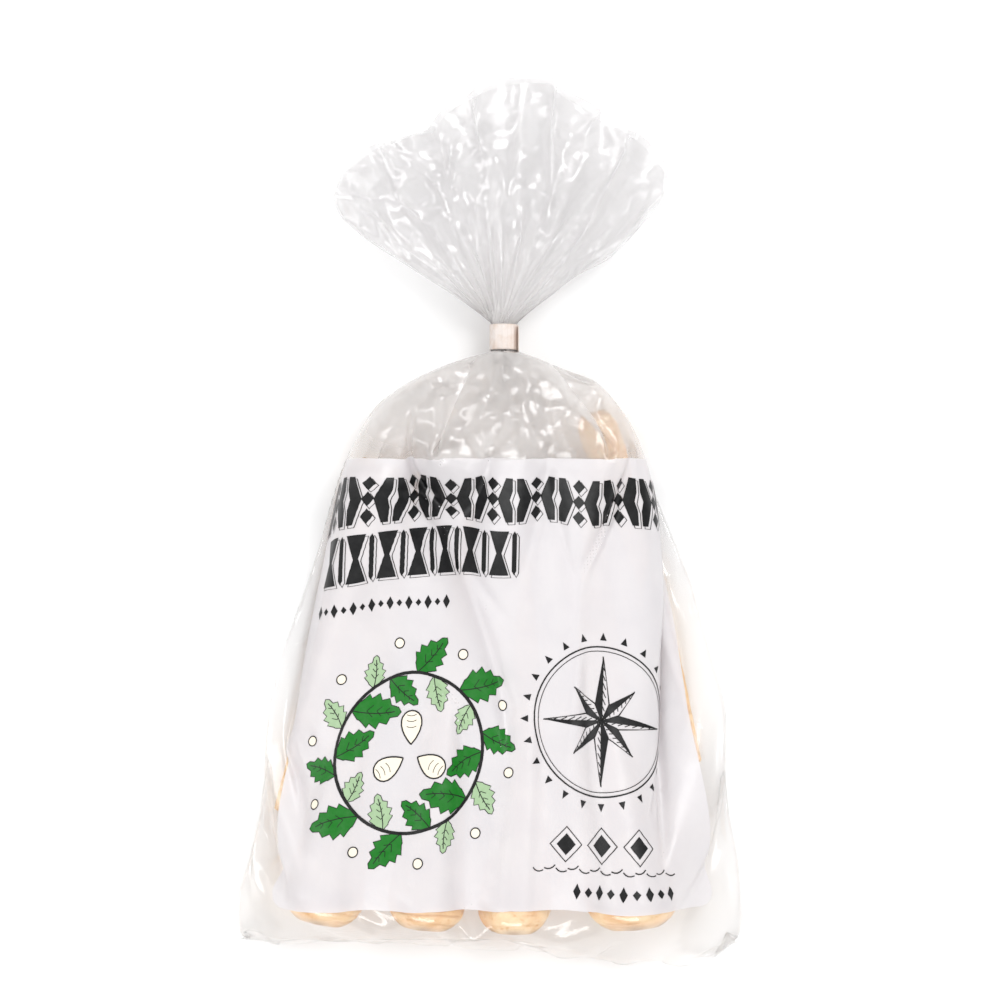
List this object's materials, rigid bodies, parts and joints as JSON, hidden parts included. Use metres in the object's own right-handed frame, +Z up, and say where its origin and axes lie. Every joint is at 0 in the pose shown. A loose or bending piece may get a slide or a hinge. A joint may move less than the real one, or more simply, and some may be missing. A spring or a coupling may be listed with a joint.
{
  "type": "bag of parsnips",
  "caption": "Clear film bag of loose parsnips lying on its back, gathered at the neck under a turn of tape, with a flared mouth above it.",
  "frame": {"origin": "middle of the bounding box's base, on the surface that the bag lies on", "axes": "+X across the bag, +Y from the welded bottom edge to the neck and mouth, +Z up from the surface, out of the printed front"},
  "size_m": [0.24, 0.4216, 0.05],
  "materials": {
    "film": "clear glossy film with a white printed panel",
    "tape": "pale satin tape",
    "skin": "matt cream root skin"
  },
  "bodies": {
    "root": {"bag_film": "film", "neck_tape": "tape", "parsnip_left": "skin", "parsnip_mid_left": "skin", "parsnip_middle": "skin", "parsnip_right": "skin", "parsnip_upper_left": "skin", "parsnip_upper_right": "skin"}
  },
  "joints": []
}
